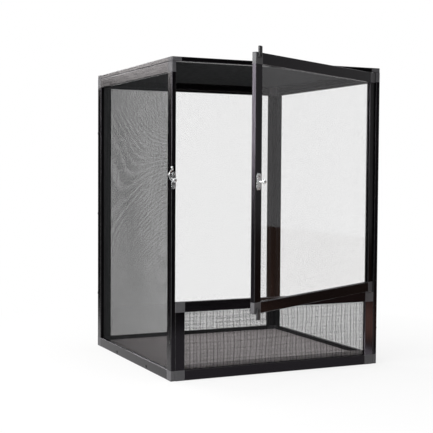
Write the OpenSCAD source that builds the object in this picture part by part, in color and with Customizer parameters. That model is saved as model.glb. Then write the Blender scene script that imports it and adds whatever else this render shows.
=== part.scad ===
// Mesh reptile cage: five screen panels, a floor board, a hinged door with a clear pane, and a hook latch.
// Millimetres. X runs to the right, Y to the rear, Z up. The origin is the middle of the base on the ground.

/* [Cage] */
// Outside width of the cage
cage_w = 450; // [300:1:800]
// Outside depth of the cage
cage_d = 425; // [300:1:800]
// Outside height of the cage
cage_h = 595; // [420:1:1200]

/* [Frame bar] */
// Width of the bar's face
bar_w = 19.5; // [18.5:0.1:26]
// Thickness of the bar
bar_t = 8.5; // [8:0.1:12]
// Wall of the extrusion
bar_wall = 1; // [0.8:0.1:1.3]
// Chamfer along the bar's edges
bar_chamfer = 0.7; // [0.2:0.1:0.9]
// Width of the hollow box beside the groove, walls included
box_w = 13; // [11:0.1:14]
// Width of the spline groove
groove_w = 3.5; // [3:0.1:4]
// Depth of the spline groove
groove_depth = 4.2; // [3.8:0.1:5]
// How far the mesh lip lies below the outer face
lip_drop = 0.8; // [0.7:0.1:1]

/* [Corner block] */
// Radius of the block's outer corner
block_r = 2; // [1:0.1:4]
// Length of a leg that slides into a bar
leg_len = 25; // [12:1:32]
// Taper at a leg's tip
leg_taper = 2; // [0.5:0.1:3]
// Width of a ridge that grips the bar's wall
ridge_w = 1.6; // [0.8:0.1:2.5]
// Gap between a leg and the bar's wall
leg_clear = 0.4; // [0.2:0.05:0.6]

/* [Mesh and spline] */
// Thickness of the mesh
mesh_t = 0.6; // [0.3:0.1:0.7]
// Width of a strand of the net
strand_w = 1.2; // [0.6:0.1:3]
// Spacing of the strands
net_pitch = 27; // [26:0.5:60]
// Gap on each side of the spline in its groove
spline_clear = 0.15; // [0.05:0.05:0.3]
// How far the spline lies below the mesh
spline_sink = 0.3; // [0.1:0.1:0.6]

/* [Lower front panel] */
// Height of the lower front panel
lower_h = 146.5; // [110:0.5:200]

/* [Door] */
// Angle at which the door stands open
door_open = 29; // [0:1:90]
// Gap above and below the door
door_gap = 1.5; // [1:0.1:4]
// Gap between the door's free edge and the left panel
free_gap = 2; // [1:0.1:5]
// Gap between the door's hinge edge and the right panel
hinge_gap = 2.4; // [2.2:0.1:5]
// How far the closed door stands proud of the front
door_proud = 0.3; // [0.2:0.1:1]
// Distance from the door's hinge edge to the pin's axis
pin_inset = 4.25; // [3.5:0.05:5]
// Diameter of a hinge pin
pin_d = 3; // [2:0.1:4]
// Depth of a pin in the door's block
pin_in_door = 8; // [5:0.5:10]
// Depth of a pin in the cage's block
pin_in_cage = 6; // [4:0.5:7]
// Diameter of the lower pin's collar
collar_d = 6; // [4.5:0.1:7]
// Radial clearance of the pins
pin_clear = 0.05; // [0.02:0.01:0.1]

/* [Door pane] */
// Thickness of the clear pane
pane_t = 2.5; // [1.5:0.1:4]
// Gap on each side of the pane in its slot
pane_clear = 0.15; // [0.05:0.05:0.4]
// Gap between the pane's edge and the bottom of its slot
pane_end_gap = 0.5; // [0.2:0.1:2]

/* [Stop tabs] */
// Width of a stop tab
tab_w = 9; // [6:0.5:14]
// Thickness of a stop tab
tab_t = 3; // [2:0.1:5]
// Length of a stop tab
tab_l = 19.5; // [15:0.5:26]
// How far a tab reaches past the door's edge
tab_reach = 10.5; // [6:0.5:11]
// Radius of a tab's free corners
tab_r = 2; // [0.5:0.1:4]

/* [Latch] */
// Height of the latch's middle above the ground
latch_z = 370; // [260:1:450]
// Width of the latch plate
plate_w = 8; // [6:0.1:8.5]
// Height of the latch plate
plate_h = 31; // [26:0.5:40]
// Thickness of the latch and keeper plates
plate_t = 1.2; // [0.8:0.1:2]
// Distance from the pivot to each plate screw
plate_screw_off = 11; // [9:0.1:13]
// Height of the pivot boss above the plate
boss_h = 2.8; // [2.4:0.1:4]
// Diameter of the pivot boss
boss_d = 6.4; // [5:0.1:8]
// Diameter of the pivot rivet
rivet_d = 3; // [2:0.1:4]
// Diameter of the rivet's head
rivet_head_d = 6.6; // [5:0.1:8]
// Height of the rivet's head
rivet_head_h = 1.6; // [1:0.1:2.5]
// Thickness of the hook
hook_t = 2; // [1.5:0.1:2.6]
// Width of the hook's arm
hook_w = 3; // [2.4:0.1:4]
// Radius of the arm's middle line
hook_r = 10.5; // [9.5:0.1:12]
// Distance from the pivot to the middle of the arm's arc
hook_throw = 9.5; // [8.5:0.1:10.5]
// Diameter of the ring round the pivot
hook_eye_d = 8; // [6.5:0.1:10]
// Length of the finger tip beyond the arc
hook_tip_l = 4.5; // [2:0.1:8]
// Diameter of the ball on the tip
hook_ball_d = 4.2; // [3:0.1:4.6]

/* [Keeper] */
// Distance from the door's free edge to the keeper's middle
keeper_inset = 9; // [8:0.1:9.5]
// Width of the keeper plate
keeper_w = 12; // [9:0.1:14]
// Height of the keeper plate
keeper_h = 28; // [24:0.5:36]
// Radius of the keeper plate's corners
keeper_r = 3.5; // [1:0.1:4.5]
// Distance from the stud to each keeper screw
keeper_screw_off = 9.5; // [8:0.1:11]
// Diameter of the stud's neck
stud_d = 4; // [3:0.1:5]
// Length of the neck above the plate
stud_neck = 10.2; // [6.6:0.1:12]
// Diameter of the stud's head
stud_head_d = 8; // [6:0.1:9]
// Height of the stud's head
stud_head_h = 4.2; // [2:0.1:5]

/* [Floor] */
// Thickness of the floor board
floor_t = 11.5; // [8:0.5:14]
// Gap between the floor board and the panels
floor_clear = 0.3; // [0.1:0.1:1]
// Height of the litter strip's top above the ground
strip_top = 28; // [22:0.5:60]
// Depth of the litter strip's foot
strip_foot = 12; // [6:0.5:30]
// Thickness of the litter strip
strip_t = 1.5; // [1:0.1:3]

/* [Screws] */
// Diameter of a panel screw
screw_d = 3.5; // [2.5:0.1:4]
// Length of a panel screw's shank
screw_l = 16; // [12:0.5:18]
// Diameter of a panel screw's head
screw_head_d = 6.6; // [5:0.1:8]
// Height of a panel screw's head
screw_head_h = 0.9; // [0.6:0.1:2]
// Diameter of a small screw for the latch, the keeper and the tabs
small_d = 2.4; // [1.6:0.1:2.8]
// Length of a small screw's shank
small_l = 8; // [6:0.5:9]
// Diameter of a small screw's head
small_head_d = 4.6; // [3.5:0.1:5]
// Height of a small screw's head
small_head_h = 1.2; // [0.8:0.1:1.3]
// Radial clearance of the screw holes
screw_clear = 0.1; // [0.05:0.05:0.3]

/* [Hidden] */
$fn = 48;
// How far a cut runs past the face that it opens
overrun = 0.5;
// Length of an eye's root that is sunk into the arm it joins
blend_l = 0.2;
// Running gap on each side of the hook and of the lower pin's collar
run_gap = 0.2;
// Places of the repeated screws, as shares of the length they are spread over
rear_screw_shares = [0.2, 0.5, 0.8];
pair_screw_shares = [0.3, 0.7];
middle_share = 0.5;
// Places of the ridges along a leg
ridge_shares = [0.3, 0.5, 0.7];
// The domed part of a head, as a share of the head's height
dome_share = 0.7;

black_metal = [0.08, 0.08, 0.085];
grey_plastic = [0.27, 0.27, 0.29];
grey_mesh = [0.42, 0.42, 0.44];
black_rubber = [0.06, 0.06, 0.06];
board_grey = [0.5, 0.49, 0.48];
bright_zinc = [0.78, 0.78, 0.79];
dark_steel = [0.16, 0.16, 0.17];
clear_sheet = [0.85, 0.9, 0.92, 0.3];

// Panel sizes as [width, height] in each panel's own plane
wall_h = cage_h - bar_t;
inner_w = cage_w - 2 * bar_t;
top_size = [cage_w, cage_d];
side_size = [cage_d, wall_h];
back_size = [inner_w, wall_h];
lower_size = [inner_w, lower_h];
door_size = [inner_w - free_gap - hinge_gap, wall_h - lower_h - 2 * door_gap];

front_y = -cage_d / 2;
door_x0 = -inner_w / 2 + free_gap;
door_y0 = front_y - door_proud;
door_z0 = lower_h + door_gap;
hinge_x = door_x0 + door_size[0] - pin_inset;
hinge_y = door_y0 + bar_t / 2;

// Distances across a bar, from its outer edge
lip_start = box_w + groove_w;
mesh_edge = lip_start - mesh_t;
spline_r = (groove_w - mesh_t) / 2 - spline_clear;
spline_across = box_w + spline_clear + spline_r;
spline_depth = lip_drop + spline_sink + spline_r;
spline_bend = bar_w - spline_across;
slot_w = pane_t + 2 * pane_clear;
pane_edge = box_w + pane_end_gap;

// Latch heights, measured outwards from the front of the cage
latch_x = -cage_w / 2 + bar_t / 2;
hook_back = plate_t + boss_h + run_gap;
hook_face = hook_back + hook_t;
rivet_l = hook_face + run_gap;
// Ends of the hook's arc, in degrees round its middle, with the hook parked upright
hook_arc_from = 105;
hook_arc_to = 250;

floor_size = [inner_w - 2 * floor_clear, cage_d - 2 * bar_t - 2 * floor_clear];
keeper_z = latch_z - door_z0;

// A panel is drawn with its width along X, its height along Z and its outer face at Y = 0.
module at_top() {
    translate([-cage_w / 2, front_y, cage_h]) rotate([-90, 0, 0]) children();
}
module at_left() {
    translate([-cage_w / 2, cage_d / 2, 0]) rotate([0, 0, -90]) children();
}
module at_right() {
    translate([cage_w / 2, front_y, 0]) rotate([0, 0, 90]) children();
}
module at_back() {
    translate([inner_w / 2, cage_d / 2, 0]) rotate([0, 0, 180]) children();
}
module at_lower() {
    translate([-inner_w / 2, front_y, 0]) children();
}
module at_door() {
    translate([hinge_x, hinge_y, 0])
        rotate([0, 0, door_open])
            translate([door_x0 - hinge_x, door_y0 - hinge_y, door_z0]) children();
}
// The latch is drawn round its pivot, with Z out of the front of the cage and Y up.
module at_latch() {
    translate([latch_x, front_y, latch_z]) rotate([90, 0, 0]) children();
}
// The keeper is drawn the same way on the door's face.
module at_keeper() {
    at_door() translate([keeper_inset, 0, keeper_z]) rotate([90, 0, 0]) children();
}

// The extrusion's section: X runs in from the outer face, Y across from the outer edge.
module bar_section() {
    difference() {
        polygon([
            [bar_chamfer, 0],
            [bar_t - bar_chamfer, 0],
            [bar_t, bar_chamfer],
            [bar_t, bar_w - bar_chamfer],
            [bar_t - bar_chamfer, bar_w],
            [lip_drop, bar_w],
            [lip_drop, lip_start],
            [groove_depth, lip_start],
            [groove_depth, box_w],
            [0, box_w],
            [0, bar_chamfer]
        ]);
        bar_hollow();
        translate([groove_depth + bar_wall, box_w])
            square([bar_t - groove_depth - 2 * bar_wall, bar_w - box_w - bar_wall]);
    }
}
module bar_hollow() {
    translate([bar_wall, bar_wall])
        square([bar_t - 2 * bar_wall, box_w - 2 * bar_wall]);
}

// The door's section: the same hollow box, with a slot for the pane along its inner edge
module glazed_section() {
    difference() {
        polygon([
            [bar_chamfer, 0],
            [bar_t - bar_chamfer, 0],
            [bar_t, bar_chamfer],
            [bar_t, bar_w - bar_chamfer],
            [bar_t - bar_chamfer, bar_w],
            [bar_chamfer, bar_w],
            [0, bar_w - bar_chamfer],
            [0, bar_chamfer]
        ]);
        bar_hollow();
        translate([(bar_t - slot_w) / 2, box_w]) square([slot_w, bar_w - box_w + overrun]);
    }
}

// A bar along the panel's bottom, between the corner blocks.
// Face holes are [along, across, diameter, depth]; edge holes are [along, depth, diameter].
module rail(size, face_holes = [], edge_holes = [], glazed = false) {
    difference() {
        translate([bar_w, 0, 0])
            rotate([90, 0, 90])
                linear_extrude(size[0] - 2 * bar_w)
                    if (glazed) glazed_section();
                    else bar_section();
        for (h = face_holes)
            translate([h[0], -overrun, h[1]])
                rotate([-90, 0, 0]) cylinder(d = h[2], h = h[3] + 2 * overrun);
        for (h = edge_holes)
            translate([h[0], h[1], -overrun])
                cylinder(d = h[2], h = bar_wall + 2 * overrun);
    }
}
module far_rail(size, face_holes = [], edge_holes = [], glazed = false) {
    translate([0, 0, size[1]]) mirror([0, 0, 1]) rail(size, face_holes, edge_holes, glazed);
}
module stile(size, face_holes = [], edge_holes = [], glazed = false) {
    mirror([1, 0, -1]) rail([size[1], size[0]], face_holes, edge_holes, glazed);
}
module far_stile(size, face_holes = [], edge_holes = [], glazed = false) {
    translate([size[0], 0, 0]) mirror([1, 0, 0]) stile(size, face_holes, edge_holes, glazed);
}

// One chamfered side of a corner block, run along X
module block_side() {
    rotate([90, 0, 90])
        linear_extrude(bar_w)
            polygon([
                [bar_chamfer, 0],
                [bar_t - bar_chamfer, 0],
                [bar_t, bar_chamfer],
                [bar_t, bar_w],
                [0, bar_w],
                [0, bar_chamfer]
            ]);
}

// The block's outline seen from the front, with its outer corner rounded
module block_outline() {
    translate([block_r, block_r]) circle(block_r);
    translate([block_r, 0]) square([bar_w - block_r, bar_w]);
    translate([0, block_r]) square([bar_w, bar_w - block_r]);
}

// A leg that slides into a bar's hollow box: tapered at the tip, with ridges that meet the walls
module block_leg() {
    leg_low = bar_wall + leg_clear;
    leg_high = box_w - bar_wall - leg_clear;
    translate([0, bar_t - bar_wall - leg_clear, 0])
        rotate([90, 0, 0])
            linear_extrude(bar_t - 2 * bar_wall - 2 * leg_clear)
                polygon([
                    [bar_w, leg_low],
                    [bar_w + leg_len - leg_taper, leg_low],
                    [bar_w + leg_len, leg_low + leg_taper],
                    [bar_w + leg_len, leg_high - leg_taper],
                    [bar_w + leg_len - leg_taper, leg_high],
                    [bar_w, leg_high]
                ]);
    for (s = ridge_shares)
        translate([bar_w + s * leg_len, leg_low, bar_wall + run_gap])
            cube([ridge_w, bar_t - 2 * leg_low, box_w - 2 * bar_wall - 2 * run_gap]);
}

// A corner block at the panel's lower left, with its two legs
module plain_block() {
    intersection() {
        block_side();
        mirror([1, 0, -1]) block_side();
        translate([0, bar_t, 0]) rotate([90, 0, 0]) linear_extrude(bar_t) block_outline();
    }
    block_leg();
    mirror([1, 0, -1]) block_leg();
}

// The block of a screen panel: its spline groove turns round its inner corner
module corner_block() {
    difference() {
        plain_block();
        translate([bar_w, -overrun, bar_w])
            rotate([-90, 0, 0]) cylinder(r = bar_w - box_w, h = lip_drop + overrun);
        translate([bar_w, -overrun, bar_w])
            rotate([-90, 0, 0])
                difference() {
                    cylinder(r = bar_w - box_w, h = groove_depth + overrun);
                    cylinder(r = bar_w - lip_start, h = groove_depth + overrun);
                }
    }
}

// The block of the door: a slot in its inner corner takes the corner of the pane
module glazed_block() {
    slot_l = bar_w - box_w + overrun;
    difference() {
        plain_block();
        translate([box_w, (bar_t - slot_w) / 2, box_w]) cube([slot_l, slot_w, slot_l]);
    }
}

// The same block at a panel's four corners
module at_corners(size) {
    for (right = [0, 1], up = [0, 1])
        translate([right * size[0], 0, up * size[1]])
            mirror([right, 0, 0]) mirror([0, 0, up]) children();
}
module corners(size) {
    at_corners(size) corner_block();
}

// The mesh: a flat net over the lips, with a hem turned down into each bar's groove
module net(size) {
    span = [size[0] - 2 * bar_w, size[1] - 2 * bar_w];
    count = [floor(span[0] / net_pitch), floor(span[1] / net_pitch)];
    cell = [span[0] / count[0], span[1] / count[1]];
    translate([0, lip_drop, 0])
        rotate([90, 0, 0])
            linear_extrude(mesh_t)
                difference() {
                    translate([mesh_edge, mesh_edge])
                        square([size[0] - 2 * mesh_edge, size[1] - 2 * mesh_edge]);
                    for (i = [0:count[0] - 1], j = [0:count[1] - 1])
                        translate([bar_w + i * cell[0] + strand_w / 2, bar_w + j * cell[1] + strand_w / 2])
                            square([cell[0] - strand_w, cell[1] - strand_w]);
                }
    hem(size);
    translate([0, 0, size[1]]) mirror([0, 0, 1]) hem(size);
    mirror([1, 0, -1]) hem([size[1], size[0]]);
    translate([size[0], 0, 0]) mirror([1, 0, 0]) mirror([1, 0, -1]) hem([size[1], size[0]]);
}
module hem(size) {
    translate([bar_w, lip_drop - mesh_t, mesh_edge])
        cube([size[0] - 2 * bar_w, groove_depth - lip_drop + mesh_t - spline_clear, mesh_t]);
}

// The rubber cord that presses the mesh into the groove, bent round the corner blocks
module spline_cord(size) {
    at_corners(size)
        translate([bar_w, spline_depth, bar_w])
            rotate([90, 0, 0]) rotate([0, 0, 180])
                rotate_extrude(angle = 90) translate([spline_bend, 0]) circle(spline_r);
    for (up = [spline_across, size[1] - spline_across])
        translate([bar_w, spline_depth, up])
            rotate([0, 90, 0]) cylinder(r = spline_r, h = size[0] - 2 * bar_w);
    for (right = [spline_across, size[0] - spline_across])
        translate([right, spline_depth, bar_w])
            cylinder(r = spline_r, h = size[1] - 2 * bar_w);
}

// A round head with a domed top, its underside at Z = 0
module dome_head(d, h) {
    rise = dome_share * h;
    dome_r = (d * d / 4 + rise * rise) / (2 * rise);
    rotate_extrude()
        intersection() {
            square([d / 2, h]);
            translate([0, h - dome_r]) circle(dome_r);
        }
}

// A round-headed screw: its head's underside at Z = 0, its shank downwards
module screw(d, l, head_d, head_h) {
    dome_head(head_d, head_h);
    translate([0, 0, -l]) cylinder(d = d, h = l);
}
module small_screw() {
    screw(small_d, small_l, small_head_d, small_head_h);
}

// Holes for the panel screws and the small screws
screw_hole = screw_d + 2 * screw_clear;
small_hole = small_d + 2 * screw_clear;
function spread(shares, length) = [for (s = shares) s * length];
function face_row(places, across) = [for (p = places) [p, across, screw_hole, bar_t]];
function edge_row(places) = [for (p = places) [p, bar_t / 2, screw_hole]];

rear_screws = spread(rear_screw_shares, wall_h);
lower_screws = [middle_share * lower_h];
depth_screws = spread(pair_screw_shares, cage_d);
back_screws = spread(pair_screw_shares, inner_w);
latch_holes = [for (s = [-1, 1]) [latch_z + s * plate_screw_off, bar_t / 2, small_hole]];
keeper_holes = [for (s = [-1, 1])
    [keeper_z + s * keeper_screw_off, keeper_inset, small_hole, bar_wall]];

// Top panel
module top_front_rail() {
    color(black_metal) at_top() rail(top_size);
}
module top_rear_rail() {
    color(black_metal) at_top() far_rail(top_size, face_row([for (p = back_screws) p + bar_t], bar_t / 2));
}
module top_left_rail() {
    color(black_metal) at_top() stile(top_size, face_row(depth_screws, bar_t / 2));
}
module top_right_rail() {
    color(black_metal) at_top() far_stile(top_size, face_row(depth_screws, bar_t / 2));
}
module top_corners() {
    color(grey_plastic)
        difference() {
            at_top() corners(top_size);
            translate([hinge_x, hinge_y, wall_h - overrun])
                cylinder(d = pin_d + 2 * pin_clear, h = pin_in_cage + 2 * overrun);
        }
}
module top_mesh() {
    color(grey_mesh) at_top() net(top_size);
}
module top_spline() {
    color(black_rubber) at_top() spline_cord(top_size);
}

// Left panel
module left_bottom_rail() {
    color(black_metal) at_left() rail(side_size, face_row(depth_screws, floor_t / 2));
}
module left_top_rail() {
    color(black_metal) at_left() far_rail(side_size, [], edge_row(depth_screws));
}
module left_rear_stile() {
    color(black_metal) at_left() stile(side_size, face_row(rear_screws, bar_t / 2));
}
module left_front_stile() {
    color(black_metal) at_left() far_stile(side_size, face_row(lower_screws, bar_t / 2), latch_holes);
}
module left_corners() {
    color(grey_plastic) at_left() corners(side_size);
}
module left_mesh() {
    color(grey_mesh) at_left() net(side_size);
}
module left_spline() {
    color(black_rubber) at_left() spline_cord(side_size);
}

// Right panel
module right_bottom_rail() {
    color(black_metal) at_right() rail(side_size, face_row(depth_screws, floor_t / 2));
}
module right_top_rail() {
    color(black_metal) at_right() far_rail(side_size, [], edge_row(depth_screws));
}
module right_front_stile() {
    color(black_metal) at_right() stile(side_size, face_row(lower_screws, bar_t / 2));
}
module right_rear_stile() {
    color(black_metal) at_right() far_stile(side_size, face_row(rear_screws, bar_t / 2));
}
module right_corners() {
    color(grey_plastic) at_right() corners(side_size);
}
module right_mesh() {
    color(grey_mesh) at_right() net(side_size);
}
module right_spline() {
    color(black_rubber) at_right() spline_cord(side_size);
}

// Back panel
module back_bottom_rail() {
    color(black_metal) at_back() rail(back_size);
}
module back_top_rail() {
    color(black_metal) at_back() far_rail(back_size, [], edge_row(back_screws));
}
module back_right_stile() {
    color(black_metal) at_back() stile(back_size, [], edge_row(rear_screws));
}
module back_left_stile() {
    color(black_metal) at_back() far_stile(back_size, [], edge_row(rear_screws));
}
module back_corners() {
    color(grey_plastic) at_back() corners(back_size);
}
module back_mesh() {
    color(grey_mesh) at_back() net(back_size);
}
module back_spline() {
    color(black_rubber) at_back() spline_cord(back_size);
}

// Lower front panel
module lower_bottom_rail() {
    color(black_metal) at_lower() rail(lower_size);
}
module lower_top_rail() {
    color(black_metal) at_lower() far_rail(lower_size);
}
module lower_left_stile() {
    color(black_metal) at_lower() stile(lower_size, [], edge_row(lower_screws));
}
module lower_right_stile() {
    color(black_metal) at_lower() far_stile(lower_size, [], edge_row(lower_screws));
}
module lower_corners() {
    color(grey_plastic)
        difference() {
            at_lower() corners(lower_size);
            translate([hinge_x, hinge_y, lower_h - pin_in_cage - overrun])
                cylinder(d = pin_d + 2 * pin_clear, h = pin_in_cage + 2 * overrun);
        }
}
module lower_mesh() {
    color(grey_mesh) at_lower() net(lower_size);
}
module lower_spline() {
    color(black_rubber) at_lower() spline_cord(lower_size);
}

// Door
pin_hole_x = door_size[0] - pin_inset;
tab_x = bar_w / 2;
tab_screw_z = (tab_l - tab_reach) / 2;
module door_bottom_rail() {
    color(black_metal) at_door() rail(door_size, glazed = true);
}
module door_top_rail() {
    color(black_metal) at_door() far_rail(door_size, glazed = true);
}
module door_free_stile() {
    color(black_metal) at_door() stile(door_size, keeper_holes, glazed = true);
}
module door_hinge_stile() {
    color(black_metal) at_door() far_stile(door_size, glazed = true);
}
module door_corners() {
    color(grey_plastic)
        at_door()
            difference() {
                at_corners(door_size) glazed_block();
                for (z = [-overrun, door_size[1] - pin_in_door - overrun])
                    translate([pin_hole_x, bar_t / 2, z])
                        cylinder(d = pin_d + 2 * pin_clear, h = pin_in_door + 2 * overrun);
                for (z = [tab_screw_z, door_size[1] - tab_screw_z])
                    translate([tab_x, -overrun, z])
                        rotate([-90, 0, 0]) cylinder(d = small_hole, h = small_l - tab_t + 2 * overrun);
            }
}
module door_pane() {
    color(clear_sheet)
        at_door()
            translate([pane_edge, (bar_t - pane_t) / 2, pane_edge])
                cube([door_size[0] - 2 * pane_edge, pane_t, door_size[1] - 2 * pane_edge]);
}

// Hinge pins, fixed in the door's blocks and turning in the cage's blocks
module upper_hinge_pin() {
    color(dark_steel)
        translate([hinge_x, hinge_y, wall_h - door_gap - pin_in_door])
            cylinder(d = pin_d, h = pin_in_door + door_gap + pin_in_cage);
}
module lower_hinge_pin() {
    color(dark_steel) {
        translate([hinge_x, hinge_y, lower_h - pin_in_cage])
            cylinder(d = pin_d, h = pin_in_cage + door_gap + pin_in_door);
        translate([hinge_x, hinge_y, lower_h + run_gap])
            cylinder(d = collar_d, h = door_gap - 2 * run_gap);
    }
}

// Stop tabs: flat tongues on the free corners of the door that meet the cage when it shuts
module stop_tab() {
    translate([tab_x - tab_w / 2, 0, tab_l - tab_reach])
        rotate([90, 0, 0])
            linear_extrude(tab_t)
                difference() {
                    translate([0, -tab_l]) tab_outline();
                    translate([tab_w / 2, -tab_l + tab_reach + tab_screw_z]) circle(d = small_hole);
                }
}
module tab_outline() {
    translate([0, tab_r]) square([tab_w, tab_l - tab_r]);
    translate([tab_r, 0]) square([tab_w - 2 * tab_r, tab_l]);
    for (x = [tab_r, tab_w - tab_r])
        translate([x, tab_r]) circle(tab_r);
}
module lower_stop_tab() {
    color(grey_plastic) at_door() stop_tab();
}
module upper_stop_tab() {
    color(grey_plastic)
        at_door() translate([0, 0, door_size[1]]) mirror([0, 0, 1]) stop_tab();
}
module stop_tab_screws() {
    color(dark_steel)
        at_door()
            for (z = [tab_screw_z, door_size[1] - tab_screw_z])
                translate([tab_x, -tab_t, z]) rotate([90, 0, 0]) small_screw();
}

// Latch: a plate on the left post's front edge, and a C hook that turns on its rivet
module latch_plate() {
    color(bright_zinc)
        at_latch()
            difference() {
                union() {
                    linear_extrude(plate_t) plate_outline();
                    cylinder(d = boss_d, h = plate_t + boss_h);
                }
                translate([0, 0, -overrun])
                    cylinder(d = rivet_d + 2 * pin_clear, h = plate_t + boss_h + 2 * overrun);
                for (s = [-1, 1])
                    translate([0, s * plate_screw_off, -overrun])
                        cylinder(d = small_hole, h = plate_t + 2 * overrun);
            }
}
module plate_outline() {
    for (s = [-1, 1])
        translate([0, s * (plate_h - plate_w) / 2]) circle(d = plate_w);
    square([plate_w, plate_h - plate_w], center = true);
}
module latch_rivet() {
    color(bright_zinc)
        at_latch() {
            cylinder(d = rivet_d, h = rivet_l + rivet_head_h / 2);
            translate([0, 0, rivet_l]) dome_head(rivet_head_d, rivet_head_h);
        }
}
// The hook parked upright: an eye on the rivet, an arc that opens to the right and a ball tip
module latch_hook() {
    tip_mid = [hook_r * cos(hook_arc_from), hook_throw + hook_r * sin(hook_arc_from)];
    color(bright_zinc)
        at_latch()
            translate([0, 0, hook_back]) {
                difference() {
                    union() {
                        cylinder(d = hook_eye_d, h = hook_t);
                        translate([0, hook_throw, 0])
                            rotate([0, 0, hook_arc_from])
                                rotate_extrude(angle = hook_arc_to - hook_arc_from)
                                    translate([hook_r - hook_w / 2, 0]) square([hook_w, hook_t]);
                        translate(tip_mid)
                            rotate([0, 0, hook_arc_from])
                                translate([-hook_w / 2, -blend_l, 0])
                                    cube([hook_w / 2 + hook_tip_l, hook_w, hook_t]);
                    }
                    translate([0, 0, -overrun])
                        cylinder(d = rivet_d + 2 * pin_clear, h = hook_t + 2 * overrun);
                }
                translate(tip_mid)
                    rotate([0, 0, hook_arc_from])
                        translate([hook_tip_l, hook_w / 2 - blend_l, hook_t / 2]) sphere(d = hook_ball_d);
            }
}
module latch_screws() {
    color(bright_zinc)
        at_latch()
            for (s = [-1, 1])
                translate([0, s * plate_screw_off, plate_t]) small_screw();
}

// Keeper: a plate with round corners on the door's free stile and a headed stud that the hook drops over
module keeper_plate() {
    color(bright_zinc)
        at_keeper()
            difference() {
                linear_extrude(plate_t) keeper_outline();
                translate([0, 0, -overrun])
                    cylinder(d = stud_d + 2 * pin_clear, h = plate_t + 2 * overrun);
                for (s = [-1, 1])
                    translate([0, s * keeper_screw_off, -overrun])
                        cylinder(d = small_hole, h = plate_t + 2 * overrun);
            }
}
module keeper_outline() {
    for (x = [-1, 1], y = [-1, 1])
        translate([x * (keeper_w / 2 - keeper_r), y * (keeper_h / 2 - keeper_r)]) circle(keeper_r);
    square([keeper_w, keeper_h - 2 * keeper_r], center = true);
    square([keeper_w - 2 * keeper_r, keeper_h], center = true);
}
module keeper_stud() {
    color(bright_zinc)
        at_keeper() {
            cylinder(d = stud_d, h = plate_t + stud_neck + stud_head_h / 2);
            translate([0, 0, plate_t + stud_neck]) dome_head(stud_head_d, stud_head_h);
        }
}
module keeper_screws() {
    color(bright_zinc)
        at_keeper()
            for (s = [-1, 1])
                translate([0, s * keeper_screw_off, plate_t]) small_screw();
}

// Floor
module floor_board() {
    color(board_grey)
        difference() {
            translate([-floor_size[0] / 2, -floor_size[1] / 2, 0])
                cube([floor_size[0], floor_size[1], floor_t]);
            side_screw_places() cylinder(d = screw_hole, h = 2 * (screw_l + overrun), center = true);
        }
}
// An angle strip on the board, just behind the lower front panel
module litter_strip() {
    color(board_grey)
        translate([-floor_size[0] / 2, -floor_size[1] / 2, floor_t])
            rotate([90, 0, 90])
                linear_extrude(floor_size[0])
                    polygon([
                        [0, 0],
                        [strip_foot, 0],
                        [strip_foot, strip_t],
                        [strip_t, strip_t],
                        [strip_t, strip_top - floor_t],
                        [0, strip_top - floor_t]
                    ]);
}

// Places of the screws into the floor board, drawn with Z out of each side panel
module side_screw_places() {
    for (side = [-1, 1], p = depth_screws)
        translate([side * cage_w / 2, front_y + p, floor_t / 2]) rotate([0, side * 90, 0]) children();
}
module panel_screw() {
    screw(screw_d, screw_l, screw_head_d, screw_head_h);
}
module panel_screws() {
    color(dark_steel) {
        side_screw_places() panel_screw();
        for (side = [-1, 1]) {
            for (z = rear_screws)
                translate([side * cage_w / 2, cage_d / 2 - bar_t / 2, z])
                    rotate([0, side * 90, 0]) panel_screw();
            for (z = lower_screws)
                translate([side * cage_w / 2, front_y + bar_t / 2, z])
                    rotate([0, side * 90, 0]) panel_screw();
            for (p = depth_screws)
                translate([side * (cage_w - bar_t) / 2, front_y + p, cage_h]) panel_screw();
        }
        for (p = back_screws)
            translate([inner_w / 2 - p, cage_d / 2 - bar_t / 2, cage_h]) panel_screw();
    }
}

top_front_rail();
top_rear_rail();
top_left_rail();
top_right_rail();
top_corners();
top_mesh();
top_spline();
left_bottom_rail();
left_top_rail();
left_rear_stile();
left_front_stile();
left_corners();
left_mesh();
left_spline();
right_bottom_rail();
right_top_rail();
right_front_stile();
right_rear_stile();
right_corners();
right_mesh();
right_spline();
back_bottom_rail();
back_top_rail();
back_right_stile();
back_left_stile();
back_corners();
back_mesh();
back_spline();
lower_bottom_rail();
lower_top_rail();
lower_left_stile();
lower_right_stile();
lower_corners();
lower_mesh();
lower_spline();
door_bottom_rail();
door_top_rail();
door_free_stile();
door_hinge_stile();
door_corners();
door_pane();
upper_hinge_pin();
lower_hinge_pin();
upper_stop_tab();
lower_stop_tab();
stop_tab_screws();
latch_plate();
latch_rivet();
latch_hook();
latch_screws();
keeper_plate();
keeper_stud();
keeper_screws();
floor_board();
litter_strip();
panel_screws();
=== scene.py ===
# %% [markdown]
# # A mesh reptile cage
#
# The cage is a box of screen panels: black anodised bars, dark grey corner blocks and fine mesh held in a groove by
# a rubber cord. A clear door hangs open on the right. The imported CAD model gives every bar, block and fitting its
# place, so this lesson dresses that frame. It turns the panels with their smooth side out, softens the edges of bars
# and blocks, weaves the five screens wire by wire, makes the small fittings anew with rounded edges, and gives every
# piece a finish made of shader nodes.

import math

import bmesh
import bpy
from mathutils import Matrix, Vector


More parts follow.
